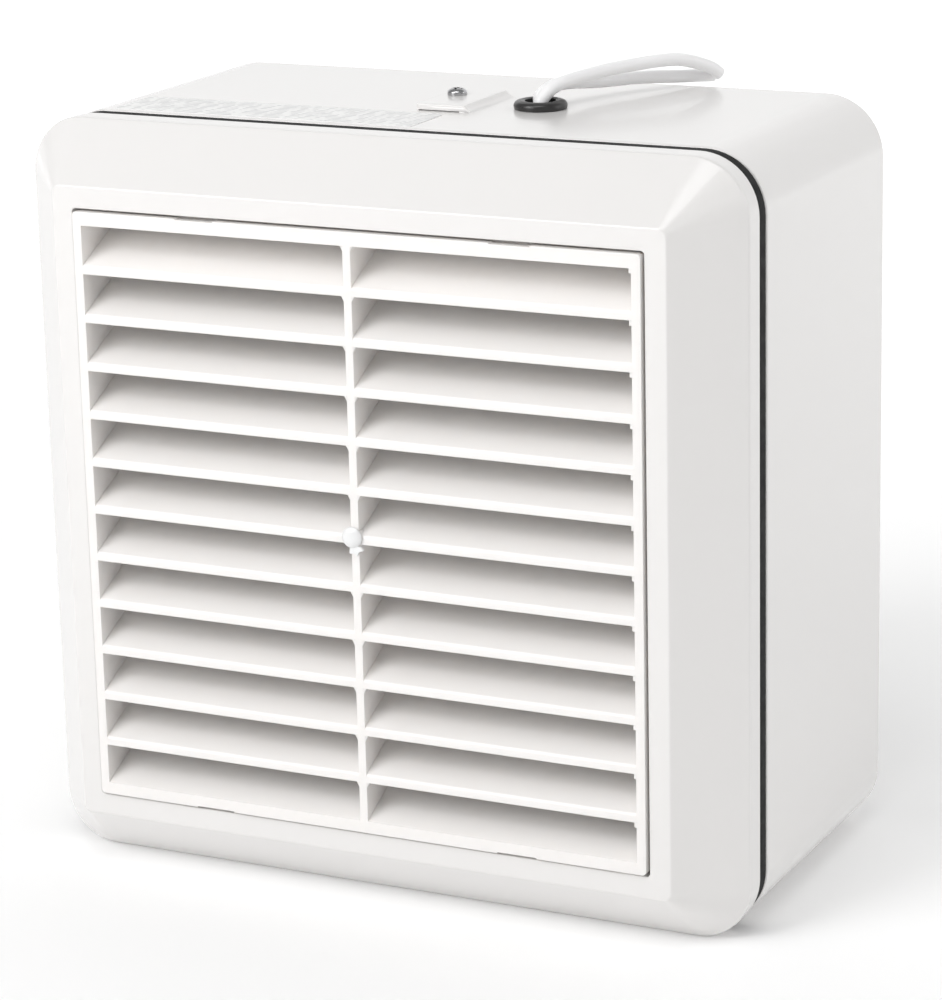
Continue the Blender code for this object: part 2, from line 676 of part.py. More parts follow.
def make_link():
    """The bar that ties the five crank pins together, with the pin that the plunger lifts."""
    heights = [z - CRANK_DROP for z in shutter_heights()]
    link = box("shutter_link", LINK_X, (CRANK_Y - 3.4, CRANK_Y + 3.4),
               (heights[-1] - 4.0, heights[0] + 4.0), "grey")
    for z in heights:
        cut(link, hole(1.8, (CRANK_Y, z), LINK_X[0] - 1, LINK_X[1] + 1, "x"))
    join(link, hole(1.5, (CRANK_Y, DRIVE_Z), -90.5, LINK_X[0] + 1, "x"))
    set_origin(link, LINK_X[1], CRANK_Y, heights[0])


def make_actuator():
    """A thermal actuator: its plunger lifts the link's pin in a slot, against a return spring."""
    bottom, top = ACTUATOR_Z
    middle_y = CRANK_Y - CRANK * (1 - math.cos(CRANK_REST)) / 2
    axis = (ACTUATOR_X, middle_y)
    body = turned("actuator_body", [(7.0, bottom), (8.0, bottom + 1.5), (8.0, top - 3), (5.0, top)],
                  axis, "z", "brass", 16)
    foot = box("foot", (-86.5, -SHUTTER_IN_X - 3.0 - GAP), (axis[1] - 5, axis[1] + 5), (-72, -48))
    join(body, foot)
    cut(body, hole(2.0 + GAP, axis, bottom + 10, top + 1, "z", 12))
    head_z = (DRIVE_Z - 4.6, DRIVE_Z + 4.6)
    head = box("actuator_plunger", (-96.5, -84.0), (middle_y - 5.6, middle_y + 5.6), head_z, "steel")
    slot_half = CRANK * (1 - math.cos(CRANK_REST)) / 2 + 1.5 + 0.45
    slot = box("slot", (-98, -83), (middle_y - slot_half, middle_y + slot_half),
               (DRIVE_Z - 2.15, DRIVE_Z + 2.15))
    cut(head, slot)
    join(head, hole(2.0, axis, top - 20.0, head_z[0] + 1.0, "z", 12))
    set_origin(head, *axis, DRIVE_Z)

    coil_r, wire, turns, per_turn = 3.7, 0.5, 4, 5
    low, high = top + GAP + wire, head_z[0] - GAP - wire
    coil = []
    for step in range(turns * per_turn + 1):
        turn = 2 * math.pi * step / per_turn
        coil.append((
            axis[0] + coil_r * math.cos(turn),
            axis[1] + coil_r * math.sin(turn),
            low + (high - low) * step / (turns * per_turn),
        ))
    cable("return_spring", coil, wire, "steel", resolution=1)


def make_terminals():
    """A tray under the top wall with a two-way terminal block and its screws."""
    under = FACE - WALL - GAP
    tray = box("terminal_tray", (-27.0, 15.6), (67.0, 95.0), (under - 2.0, under), "white_matt")
    join(tray, turned("boss", [(4.0, 110.4), (4.0, under - 1.0)], SCREW_AT, "z", sides=12))
    for y in ((67.0, 69.0), (93.0, 95.0)):
        join(tray, box("wall", (-27.0, 15.6), y, (97.0, under - 1.0)))
    cut(tray, hole(2.05, SCREW_AT, 109.0, under + 1, "z"))
    block = box("terminal_block", (-24.0, 14.0), (69.3, 92.7), (98.0, 105.5), "white_matt")
    for y in (75.0, 87.0):
        join(block, box("tower", (-12.0, 2.0), (y - 4.5, y + 4.5), (105.0, 108.4)))
        cut(block, hole(2.3, (-5.0, y), 100.0, 112.0, "z"))
    for name, y in (("live", 75.0), ("neutral", 87.0)):
        turned(f"terminal_screw_{name}", [(2.0, 100.4), (2.0, 107.6)], (-5.0, y), "z", "brass", 8)


def make_motor_lead():
    route = (
        (-25.2, 80.0, 101.8), (-34.0, 75.0, 102.0), (-36.0, 62.0, 102.0), (-37.0, 49.0, 88.0),
        (-36.0, 42.0, 54.0), (-33.0, 33.0, 18.0), (-27.0, 26.0, -12.0), (-11.0, 25.0, -29.0),
        (-8.0, 29.2, -30.0),
    )
    cable("motor_lead", route, 1.3, "sheath")


def make_screws():
    for number, (x, z) in enumerate(corners(POST_AT), 1):
        screw(f"bezel_screw_{number}", (x, z), TAB_Y[0] - GAP, 36.0, high=2.0)
    for number, (x, z) in enumerate(corners(PILLAR_AT), 1):
        screw(f"plate_screw_{number}", (x, z), PLATE_FRONT - GAP, 76.0)
    for number, (x, z) in enumerate(corners(ARM_AT), 1):
        screw(f"bracket_screw_{number}", (x, z), BRACKET_BACK - 2.5 - GAP, PLATE_FRONT + WALL)
    for number, (x, z) in enumerate(corners(SHUTTER_SCREW_AT), 1):
        screw(f"shutter_screw_{number}", (x, z), SHUTTER_FRAME_Y[1] - 2.6 - GAP, 131.6, head=3.0)


def main():
    clear_scene()
    make_bezel()
    make_grille()
    make_lens()
    make_gasket()
    make_casing()
    make_spigot()
    make_top_fittings()
    make_leads()
    make_plate()
    make_motor_bracket()
    make_motor()
    make_impeller()
    make_shutter_frame()
    make_shutter_blades()
    make_link()
    make_actuator()
    make_terminals()
    make_motor_lead()
    make_screws()


main()
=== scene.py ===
"""Looks of the bathroom extractor fan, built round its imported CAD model.

Lengths are in millimetres, measured as the CAD measures them: y backwards from the flat front
face of the bezel, x and z from the centre of the square face. They become metres in at().
"""
import math

import bmesh
import bpy
from mathutils import Matrix, Vector


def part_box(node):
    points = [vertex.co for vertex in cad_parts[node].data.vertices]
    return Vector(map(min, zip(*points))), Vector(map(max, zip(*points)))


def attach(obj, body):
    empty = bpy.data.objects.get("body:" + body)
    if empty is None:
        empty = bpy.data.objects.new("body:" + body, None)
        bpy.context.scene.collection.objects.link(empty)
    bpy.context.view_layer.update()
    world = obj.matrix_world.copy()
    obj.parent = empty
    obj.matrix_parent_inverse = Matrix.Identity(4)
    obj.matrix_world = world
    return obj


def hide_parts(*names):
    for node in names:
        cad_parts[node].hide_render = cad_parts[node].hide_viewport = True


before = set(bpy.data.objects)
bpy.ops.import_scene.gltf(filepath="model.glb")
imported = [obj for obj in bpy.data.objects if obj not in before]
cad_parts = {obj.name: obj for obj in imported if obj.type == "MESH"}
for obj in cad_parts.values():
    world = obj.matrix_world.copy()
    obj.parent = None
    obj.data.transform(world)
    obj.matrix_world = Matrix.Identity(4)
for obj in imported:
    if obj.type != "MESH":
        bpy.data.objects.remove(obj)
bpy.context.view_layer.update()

MM = 0.001
WHOLE_TURN = 2 * math.pi

bezel_low, bezel_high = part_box("front_bezel")
ORIGIN = Vector((0, bezel_low.y, (bezel_low.z + bezel_high.z) / 2))


def node_box(node):
    """A CAD node's box in millimetres, about the centre of the bezel's flat face."""
    low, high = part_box(node)
    return (low - ORIGIN) / MM, (high - ORIGIN) / MM


def at(x, y, z):
    """A point in the row frame, in metres."""
    return ORIGIN + Vector((x, y, z)) * MM


# Sizes read from the frame
FACE = node_box("front_bezel")[1].x
BEZEL_DEPTH = node_box("front_bezel")[1].y
CASING_FRONT = node_box("rear_casing")[0].y
CASING_BACK = node_box("rear_casing")[1].y
GRILLE = node_box("louvre_grille")[1].x
GRILLE_PROUD = -node_box("louvre_grille")[0].y
SPIGOT_END = node_box("duct_spigot")[1].y
lens_low, lens_high = node_box("indicator_lens")
LENS_FRONT = lens_low.y
LENS_AT = ((lens_low.x + lens_high.x) / 2, (lens_low.z + lens_high.z) / 2)
LENS_HEAD = lens_high.x - LENS_AT[0]

# Sizes that the CAD model has inside a node
CORNER = 19.0
WALL = 2.5
CREASE = 102.0
BORDER_DEPTH = 19.0
OPENING = GRILLE + 0.7
RETURN_BACK = 24.0
TAB_INNER = 81.0
TAB_Y = (20.5, 23.5)
CORNER_STEPS = 14
GRILLE_DEPTH = 17.0
RAIL_SIDE = 2.9
CELL_TOP = 90.2
CELL_HEIGHT = 12.5
LIP_HEIGHT = 2.8
LOUVRES = 12
LOUVRE_SLOPE = math.tan(math.radians(26.0))
BLADE_THICK = 2.0
MULLION = 1.3
CLIPS = ((-51.8, 1), (53.2, 1), (-52.7, -1), (51.9, -1))
POST_AT = 88.0
PILLAR_AT = 104.0
ARM_AT = 64.0
SHUTTER_SCREW_AT = 85.0
STRAND = 4.2
LABEL_THICK = 0.12
SCREW_HOLE = 1.8
GAP = 0.3


# ---------------------------------------------------------------- materials


class Nodes:
    """A short way to write a material's node tree."""

    def __init__(self, name):
        self.material = bpy.data.materials.new(name)
        self.material.use_nodes = True
        self.tree = self.material.node_tree
        self.shader = self.tree.nodes["Principled BSDF"]
        coordinates = self.tree.nodes.new("ShaderNodeTexCoord")
        self.place = coordinates.outputs["Object"]

    def add(self, kind, **values):
        node = self.tree.nodes.new("ShaderNode" + kind)
        for key, value in values.items():
            if key in node.inputs:
                node.inputs[key].default_value = value
            else:
                setattr(node, key, value)
        return node

    def link(self, output, target):
        self.tree.links.new(output, target)

    def stretched(self, scale):
        mapping = self.add("Mapping")
        mapping.inputs["Scale"].default_value = scale
        self.link(self.place, mapping.inputs["Vector"])
        return mapping.outputs["Vector"]

    def noise(self, scale, detail=2.0, place=None):
        node = self.add("TexNoise", Scale=scale, Detail=detail)
        self.link(place or self.place, node.inputs["Vector"])
        return node.outputs["Fac"]

    def span(self, value, low, high, start=0.3, end=0.7):
        """Maps a value onto low..high, as it goes from start to end."""
        node = self.add("MapRange")
        ends = {"From Min": start, "From Max": end, "To Min": low, "To Max": high}
        for key, number in ends.items():
            node.inputs[key].default_value = number
        self.link(value, node.inputs["Value"])
        return node.outputs["Result"]

    def blend(self, factor, first, second, mode="MIX"):
        """Mixes two colours, each a tuple or another node's output."""
        node = self.add("Mix", data_type="RGBA", blend_type=mode)
        self.link(factor, node.inputs["Factor"])
        for socket, colour in ((node.inputs[6], first), (node.inputs[7], second)):
            if isinstance(colour, tuple):
                socket.default_value = (*colour, 1.0)
            else:
                self.link(colour, socket)
        return node.outputs[2]

    def colour(self, output):
        self.link(output, self.shader.inputs["Base Color"])

    def roughness(self, output):
        self.link(output, self.shader.inputs["Roughness"])

    def bump(self, height, distance, strength=1.0):
        node = self.add("Bump", Strength=strength, Distance=distance)
        self.link(height, node.inputs["Height"])
        self.link(node.outputs["Normal"], self.shader.inputs["Normal"])

    def fixed(self, **values):
        for key, value in values.items():
            self.shader.inputs[key.replace("_", " ")].default_value = value


def shade_of(colour, factor):
    return tuple(channel * factor for channel in colour)


def plastic(name, colour, rough, texture=0.00002, grain=900.0, **fixed):
    """Moulded plastic: a slow drift of tone, and a very fine skin."""
    made = Nodes(name)
    made.colour(made.blend(made.noise(14.0), shade_of(colour, 0.99), colour))
    made.bump(made.noise(grain, 3.0), texture, 0.35)
    made.fixed(Roughness=rough, **fixed)
    return made.material


def metal(name, colour, rough, streak=(1, 1, 1), grain=500.0, bump=0.00003):
    """Metal with streaks drawn out along one direction and a patchy finish."""
    made = Nodes(name)
    fine = made.noise(grain, 4.0, made.stretched(streak))
    made.colour(made.blend(made.noise(90.0, 3.0), shade_of(colour, 0.85), colour))
    made.roughness(made.span(fine, rough * 0.7, rough * 1.3))
    made.bump(fine, bump, 0.4)
    made.fixed(Metallic=1.0)
    return made.material


def rubber(name, colour, rough, shine=0.5):
    made = Nodes(name)
    made.colour(made.blend(made.noise(160.0, 4.0), colour, shade_of(colour, 1.5)))
    made.roughness(made.span(made.noise(300.0, 3.0), rough * 0.85, rough * 1.15))
    made.bump(made.noise(1500.0, 2.0), 0.00004, 0.4)
    made.fixed(Specular_IOR_Level=shine)
    return made.material


def clear_plastic():
    made = Nodes("clear_lens")
    made.colour(made.blend(made.noise(220.0), (0.97, 0.975, 0.98), (1.0, 1.0, 1.0)))
    made.roughness(made.span(made.noise(500.0, 3.0), 0.04, 0.12))
    made.bump(made.noise(400.0, 2.0), 0.0001, 0.5)
    made.fixed(IOR=1.49, Transmission_Weight=0.15)
    return made.material


def label_film():
    """Pale film with plain broken lines ruled across it, and nothing written on it."""
    made = Nodes("label_film")
    split = made.add("SeparateXYZ")
    made.link(made.place, split.inputs["Vector"])
    rows = made.add("Math", operation="PINGPONG")
    rows.inputs[1].default_value = 1.1 * MM
    made.link(split.outputs["Y"], rows.inputs[0])
    ruled = made.span(rows.outputs["Value"], 0.5, 0.0, 0.25 * MM, 0.5 * MM)
    gaps = made.span(made.noise(420.0, 1.0, made.stretched((1, 0.4, 1))), 0.0, 1.0, 0.4, 0.55)
    broken = made.add("Math", operation="MULTIPLY")
    made.link(ruled, broken.inputs[0])
    made.link(gaps, broken.inputs[1])
    worn = made.blend(made.noise(60.0, 3.0), (0.88, 0.88, 0.87), (0.92, 0.92, 0.91))
    made.colour(made.blend(broken.outputs[0], worn, (0.14, 0.14, 0.16)))
    made.roughness(made.span(made.noise(120.0, 3.0), 0.35, 0.5))
    made.bump(made.noise(700.0, 2.0), 0.00002, 0.3)
    return made.material


def laminated_steel():
    """Edges of stacked sheets, half a millimetre each, across the shaft's direction."""
    made = Nodes("laminated_steel")
    bands = made.add("TexWave", bands_direction="Y", Scale=320.0, Distortion=0.6, Detail=2.0)
    made.link(made.place, bands.inputs["Vector"])
    made.colour(made.blend(bands.outputs["Fac"], (0.16, 0.16, 0.17), (0.34, 0.34, 0.35)))
    made.roughness(made.span(made.noise(250.0, 3.0), 0.35, 0.6))
    made.bump(bands.outputs["Fac"], 0.00008, 0.6)
    made.fixed(Metallic=0.9)
    return made.material


def copper_winding():
    """Varnished wire laid turn by turn along the coil."""
    made = Nodes("copper_winding")
    turns = made.add("TexWave", bands_direction="X", Scale=480.0, Distortion=0.8, Detail=1.0)
    made.link(made.place, turns.inputs["Vector"])
    made.colour(made.blend(turns.outputs["Fac"], (0.25, 0.07, 0.03), (0.72, 0.28, 0.12)))
    made.roughness(made.span(made.noise(300.0), 0.2, 0.4))
    made.bump(turns.outputs["Fac"], 0.00015, 0.8)
    made.fixed(Metallic=0.7, Coat_Weight=0.5)
    return made.material


WHITE = (0.82, 0.806, 0.794)
GLOSS = {
    "housing": plastic("white_housing", WHITE, 0.2, Coat_Weight=0.25, Coat_Roughness=0.06),
    "grille": plastic("white_grille", (0.905, 0.88, 0.86), 0.27, Coat_Weight=0.1,
                      Subsurface_Weight=0.3, Subsurface_Scale=0.003,
                      Subsurface_Radius=(1.0, 0.95, 0.9)),
    "inner": plastic("inner_plastic", (0.74, 0.735, 0.71), 0.42, 0.00005),
    "nylon": plastic("natural_nylon", (0.72, 0.69, 0.60), 0.4, 0.00005, Subsurface_Weight=0.1),
    "shutter": plastic("shutter_plastic", (0.78, 0.78, 0.76), 0.38, 0.00005),
    "fan": plastic("grey_fan_plastic", (0.16, 0.165, 0.175), 0.42, 0.00008, 600.0),
    "sheath": plastic("white_sheath", (0.93, 0.925, 0.93), 0.34, 0.00004, 500.0,
                      Subsurface_Weight=0.3, Subsurface_Scale=0.003,
                      Subsurface_Radius=(1.0, 1.0, 1.0)),
    "blue": plastic("blue_core", (0.35, 0.47, 0.62), 0.4),
    "brown": plastic("brown_core", (0.60, 0.42, 0.36), 0.4),
    "rubber": rubber("black_rubber", (0.018, 0.017, 0.017), 0.32),
    "foam": rubber("black_foam", (0.02, 0.02, 0.02), 0.8, 0.15),
    "clear": clear_plastic(),
    "label": label_film(),
    "chrome": metal("chrome", (0.5, 0.5, 0.51), 0.2, bump=0.00001),
    "zinc": metal("zinc_plate", (0.62, 0.62, 0.58), 0.34, (1, 1, 6)),
    "sheet": metal("pressed_sheet", (0.60, 0.61, 0.61), 0.38, (8, 1, 1)),
    "bright": metal("ground_steel", (0.66, 0.66, 0.67), 0.22, (1, 30, 1)),
    "brass": metal("turned_brass", (0.70, 0.52, 0.24), 0.28, (1, 30, 1)),
    "bronze": metal("sintered_bronze", (0.45, 0.30, 0.16), 0.55, grain=1500.0, bump=0.0001),
    "core": laminated_steel(),
    "copper": copper_winding(),
}

# ---------------------------------------------------------------- mesh helpers


def finish_mesh(name, bm, kind, sharp=30.0):
    """An object from a bmesh, with smooth shading that keeps the flats flat."""
    bmesh.ops.recalc_face_normals(bm, faces=bm.faces)
    mesh = bpy.data.meshes.new(name)
    bm.to_mesh(mesh)
    bm.free()
    obj = bpy.data.objects.new(name, mesh)
    bpy.context.collection.objects.link(obj)
    mesh.materials.append(GLOSS[kind])
    smooth(obj, sharp)
    return obj


def smooth(obj, sharp=30.0):
    obj.data.shade_smooth()
    obj.data.set_sharp_from_angle(angle=math.radians(sharp))


def even_normals(obj):
    """Lets wide flats keep their own normals beside narrow fillets."""
    step = obj.modifiers.new("normals", "WEIGHTED_NORMAL")
    step.keep_sharp = True
    return obj


def round_edges(obj, width, segments=2, angle=35.0):
    step = obj.modifiers.new("edges", "BEVEL")
    step.width = width * MM
    step.segments = segments
    step.limit_method = "ANGLE"
    step.angle_limit = math.radians(angle)
    step.miter_outer = "MITER_ARC"
    step.harden_normals = False
    return even_normals(obj)


def loft(name, loops, kind="housing", ring=False, sharp=30.0):
    """A body through loops of equally many points: capped at its ends, or closed into a ring."""
    bm = bmesh.new()
    rows = [[bm.verts.new(at(*p)) for p in loop] for loop in loops]
    pairs = list(zip(rows, rows[1:])) + ([(rows[-1], rows[0])] if ring else [])
    count = len(loops[0])
    for a, b in pairs:
        for i in range(count):
            j = (i + 1) % count
            bm.faces.new((a[i], a[j], b[j], b[i]))
    if not ring:
        bm.faces.new(rows[0])
        bm.faces.new(rows[-1])
    return finish_mesh(name, bm, kind, sharp)


def square_loop(half, radius, y, steps=CORNER_STEPS):
    """A rounded square about the middle axis, at depth y."""
    points = []
    for quarter, (sx, sz) in enumerate(((1, 1), (-1, 1), (-1, -1), (1, -1))):
        for step in range(steps + 1):
            turn = math.radians(90 * (quarter + step / steps))
            points.append((
                sx * (half - radius) + radius * math.cos(turn),
                y,
                sz * (half - radius) + radius * math.sin(turn),
            ))
    return points


def filleted(section, closed=True, steps=4):
    """Rounds a section's corners. Each corner is its values (the first two are its place in the
    section's plane) followed by a fillet radius, and the extra values are blended along."""
    out = []
    count = len(section)
    for i, corner in enumerate(section):
        *here, radius = corner
        ends = not closed and i in (0, count - 1)
        if ends or radius <= 0:
            out.append(tuple(here))
            continue
        here = Vector(here)
        before = Vector(section[i - 1][:-1])
        after = Vector(section[(i + 1) % count][:-1])
        flat = here.to_2d()
        back, on = before.to_2d() - flat, after.to_2d() - flat
        half_turn = back.angle(on) / 2
        reach = min(radius / math.tan(half_turn), 0.49 * back.length, 0.49 * on.length)
        start = here + (before - here) * (reach / back.length)
        end = here + (after - here) * (reach / on.length)
        for step in range(steps + 1):
            t = step / steps
            bend = 1 / (1 + math.sin(half_turn)) * 2 * t * (1 - t)
            weight = 1 - bend
            out.append(tuple(start * (1 - t) * weight + end * t * weight + here * bend))
    return out


def turned(name, profile, centre, axis="y", kind="housing", sides=48, ring=False, sharp=30.0):
    """A solid of revolution. The profile's pairs are radius and place along the axis, and centre
    gives the two coordinates of the axis in x, y, z order."""
    loops = []
    for radius, along in profile:
        loop = []
        for side in range(sides):
            turn = WHOLE_TURN * side / sides
            c, s = radius * math.cos(turn), radius * math.sin(turn)
            if axis == "x":
                loop.append((along, centre[0] + c, centre[1] + s))
            elif axis == "y":
                loop.append((centre[0] + c, along, centre[1] + s))
            else:
                loop.append((centre[0] + c, centre[1] + s, along))
        loops.append(loop)
    return loft(name, loops, kind, ring, sharp)


def box(name, x, y, z, kind="housing"):
    loops = [[(x[0], v, z[0]), (x[1], v, z[0]), (x[1], v, z[1]), (x[0], v, z[1])] for v in y]
    return loft(name, loops, kind)


def prism(name, outline, lo, hi, axis="x", kind="housing"):
    """An outline swept along an axis: its pairs are (y, z), (x, z) or (x, y)."""
    place = {
        "x": lambda a, b, along: (along, a, b),
        "y": lambda a, b, along: (a, along, b),
        "z": lambda a, b, along: (a, b, along),
    }[axis]
    return loft(name, [[place(a, b, along) for a, b in outline] for along in (lo, hi)], kind)


def combine(obj, other, operation, solver):
    step = obj.modifiers.new(operation, "BOOLEAN")
    step.operation = operation
    step.solver = solver
    step.object = other
    bake(obj)
    bpy.data.objects.remove(other, do_unlink=True)
    return obj


def bake(obj):
    """Applies the modifiers that the object has so far."""
    graph = bpy.context.evaluated_depsgraph_get()
    result = bpy.data.meshes.new_from_object(obj.evaluated_get(graph))
    obj.modifiers.clear()
    obj.data = result
    result.name = obj.name
    return obj


def join(obj, other, solver="EXACT"):
    return combine(obj, other, "UNION", solver)


def cut(obj, other, solver="EXACT"):
    return combine(obj, other, "DIFFERENCE", solver)


def hole(radius, centre, lo, hi, axis="y", sides=24):
    return turned("hole", [(radius, lo), (radius, hi)], centre, axis, sides=sides)


def corners(half):
    return [(sx * half, sz * half) for sx, sz in ((-1, 1), (1, 1), (1, -1), (-1, -1))]


def dress(obj, body, slot, *nodes):
    """Sets a new piece on its body and hides the CAD nodes it stands for. The slot is not used."""
    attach(obj, body)
    if nodes:
        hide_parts(*nodes)
    return obj


# ---------------------------------------------------------------- camera, floor and lights

CAMERA_PLACE = at(498.86, -937.81, 309.96)
CAMERA_TURN = 26.134
CAMERA_DOWN = 15.715
CAMERA_ROLL = -1.317
CAMERA_LENS = 131.71


def make_camera():
    data = bpy.data.cameras.new("camera")
    data.lens = CAMERA_LENS
    data.sensor_width = 36.0
    data.clip_end = 50.0
    camera = bpy.data.objects.new("camera", data)
    bpy.context.collection.objects.link(camera)
    aim = Matrix.Rotation(math.radians(CAMERA_TURN), 4, "Z")
    aim = aim @ Matrix.Rotation(math.radians(90 - CAMERA_DOWN), 4, "X")
    aim = aim @ Matrix.Rotation(math.radians(CAMERA_ROLL), 4, "Z")
    camera.matrix_world = Matrix.Translation(CAMERA_PLACE) @ aim
    bpy.context.scene.camera = camera


def make_floor():
    """A plain pale sweep, flat under the object and curving up a long way behind it. It glows
    more the further back it is, up to where it starts to curve."""
    bm = bmesh.new()
    reach, flat_end, bend, height, steps = 14.0, 3.0, 2.0, 6.0, 12
    line = [(-reach, 0.0), (flat_end, 0.0)]
    for step in range(1, steps + 1):
        turn = math.radians(90 * step / steps)
        line.append((flat_end + bend * math.sin(turn), bend * (1 - math.cos(turn))))
    line.append((flat_end + bend, height))
    rows = [[bm.verts.new((x, y, z)) for y, z in line] for x in (-reach, reach)]
    for i in range(len(line) - 1):
        bm.faces.new((rows[0][i], rows[1][i], rows[1][i + 1], rows[0][i + 1]))
    mesh = bpy.data.meshes.new("floor")
    bm.to_mesh(mesh)
    bm.free()
    mesh.shade_smooth()
    floor = bpy.data.objects.new("floor", mesh)
    bpy.context.collection.objects.link(floor)
    made = Nodes("floor")
    made.colour(made.blend(made.noise(3.0), (0.93, 0.93, 0.93), (0.95, 0.95, 0.95)))
    split = made.add("SeparateXYZ")
    made.link(made.place, split.inputs["Vector"])
    glow = made.add("Math", operation="MULTIPLY")
    back = split.outputs["Y"]
    made.link(made.span(back, low=0.07, high=0.7, start=-0.1, end=1.6), glow.inputs[0])
    made.link(made.span(back, low=1.0, high=0.72, start=2.6, end=3.4), glow.inputs[1])
    made.link(glow.outputs[0], made.shader.inputs["Emission Strength"])
    made.fixed(Roughness=0.9, Specular_IOR_Level=0.1, Emission_Color=(1.0, 1.0, 1.0, 1.0))
    mesh.materials.append(made.material)


def add_light(name, place, target, size, power):
    data = bpy.data.lights.new(name, "AREA")
    data.shape = "RECTANGLE"
    data.size, data.size_y = size
    data.energy = power
    light = bpy.data.objects.new(name, data)
    light.location = place
    light.rotation_mode = "QUATERNION"
    light.rotation_quaternion = (Vector(target) - Vector(place)).to_track_quat("-Z", "Y")
    light.visible_camera = False
    bpy.context.collection.objects.link(light)


def make_lights():
    world = bpy.data.worlds.new("studio")
    world.use_nodes = True
    back = world.node_tree.nodes["Background"]
    back.inputs["Color"].default_value = (1.0, 1.0, 1.0, 1.0)
    back.inputs["Strength"].default_value = 0.36
    bpy.context.scene.world = world
    bpy.context.scene.view_settings.view_transform = "Standard"
    middle = (0.0, 0.0, 0.12)
    add_light("key", (-0.62, -1.15, 0.98), middle, (0.8, 0.8), 11.0)
    add_light("top", (0.2, -1.0, 1.9), middle, (1.2, 1.2), 11.5)
    add_light("side", (1.9, 0.5, 0.75), middle, (0.8, 0.8), 4.2)
    add_light("fill", (1.3, -1.1, 0.75), middle, (0.8, 0.8), 0.8)


make_camera()
make_floor()
make_lights()

# ---------------------------------------------------------------- supply lead

GROMMET_AT = (27.5, 78.0)
GROMMET_TOP = 2.8
STRAND_OFFSET = 2.35
STRAND_SIDE = (0.44, -0.9)
LEAD_START = 114.0
FRONT_ROUTE = (
    (28.8, 76.3, 123.0), (31.6, 81.4, 126.9), (37.6, 95.8, 128.7), (45.4, 111.6, 129.5),
    (54.0, 124.3, 129.5), (60.4, 133.6, 126.3), (63.0, 137.4, 123.4),
)
REAR_ROUTE = (
    (26.6, 80.5, 123.7), (29.6, 87.9, 126.2), (36.2, 103.4, 124.9), (43.9, 117.0, 124.4),
    (52.3, 129.4, 123.3), (59.6, 140.1, 122.4),
)


def smooth_path(points, spans=4):
    """Points of a Catmull-Rom curve through the given ones."""
    first, last = Vector(points[0]), Vector(points[-1])
    knots = [2 * first - Vector(points[1]), *map(Vector, points), 2 * last - Vector(points[-2])]
    path = []
    for a, b, c, d in zip(knots, knots[1:], knots[2:], knots[3:]):
        for step in range(spans):
            t = step / spans
            path.append(0.5 * (2 * b + (c - a) * t + (2 * a - 5 * b + 4 * c - d) * t**2
                               + (3 * b - a - 3 * c + d) * t**3))
    return path + [last]


def tube(name, path, radius, kind, resolution=6):
    curve = bpy.data.curves.new(name, "CURVE")
    curve.dimensions = "3D"
    curve.bevel_depth = radius * MM
    curve.bevel_resolution = resolution
    curve.use_fill_caps = True
    spline = curve.splines.new("POLY")
    spline.points.add(len(path) - 1)
    for point, place in zip(spline.points, path):
        point.co = (*at(*place), 1.0)
    obj = bpy.data.objects.new(name, curve)
    bpy.context.collection.objects.link(obj)
    curve.materials.append(GLOSS[kind])
    return obj


def make_lead(side, colour, route):
    """One sheathed strand, with the end of its coloured core showing where it is cut."""
    x, y = GROMMET_AT
    foot = (x + side * STRAND_OFFSET * STRAND_SIDE[0], y + side * STRAND_OFFSET * STRAND_SIDE[1])
    points = [(*foot, LEAD_START), (*foot, FACE)] + list(route)
    path = smooth_path(points)
    node = f"supply_lead_{colour}"
    strand = tube(f"lead_strand_{colour}", path, STRAND / 2, "sheath")
    dress(strand, "housing", "cable_sheath", node)
    ahead = (path[-1] - path[-3]).normalized()
    core = tube(f"lead_core_{colour}", [path[-1] - ahead * 2.0, path[-1] + ahead * 0.15],
                STRAND * 0.27, colour, 4)
    dress(core, "housing", "cable_sheath")


make_lead(1, "blue", FRONT_ROUTE)
make_lead(-1, "brown", REAR_ROUTE)

# ---------------------------------------------------------------- bezel


def ring_of(name, section, kind, steps=4):
    """A ring whose section's corners are (half width, depth, corner radius, fillet)."""
    loops = [square_loop(w, max(r, 0.3), y) for w, y, r in filleted(section, steps=steps)]
    return even_normals(loft(name, loops, kind, ring=True))


def make_bezel():
    """The front frame: flat band, sloped border, rim, and the return wall round the opening."""
    inner = FACE - WALL
    section = (
        (OPENING, 0.0, 1.2, 0.35),
        (CREASE, 0.0, 2.5, 0.9),
        (FACE, BORDER_DEPTH, CORNER - 1.0, 1.6),
        (FACE, BEZEL_DEPTH, CORNER - 0.5, 0.4),
        (inner, BEZEL_DEPTH, CORNER - WALL, 0.3),
        (inner, BORDER_DEPTH + 1.0, CORNER - WALL, 1.0),
        (CREASE - 1.0, WALL, 2.0, 1.0),
        (OPENING + WALL, WALL, 2.0, 0.6),
        (OPENING + WALL, RETURN_BACK, 2.0, 0.3),
        (OPENING, RETURN_BACK, 1.2, 0.3),
    )
    bezel = ring_of("bezel_frame", section, "housing")
    bake(bezel)
    for x, z in corners(POST_AT):
        sx, sz = math.copysign(1, x), math.copysign(1, z)
        limits_x = sorted((sx * TAB_INNER, sx * (OPENING + 1.2)))
        limits_z = sorted((sz * TAB_INNER, sz * (OPENING + 1.2)))
        join(bezel, box("tab", limits_x, TAB_Y, limits_z))
        cut(bezel, hole(2.0, (x, z), TAB_Y[0] - 2.5, TAB_Y[1] + 2.5))
    smooth(bezel)
    even_normals(bezel)
    return dress(bezel, "housing", "housing_plastic", "front_bezel")


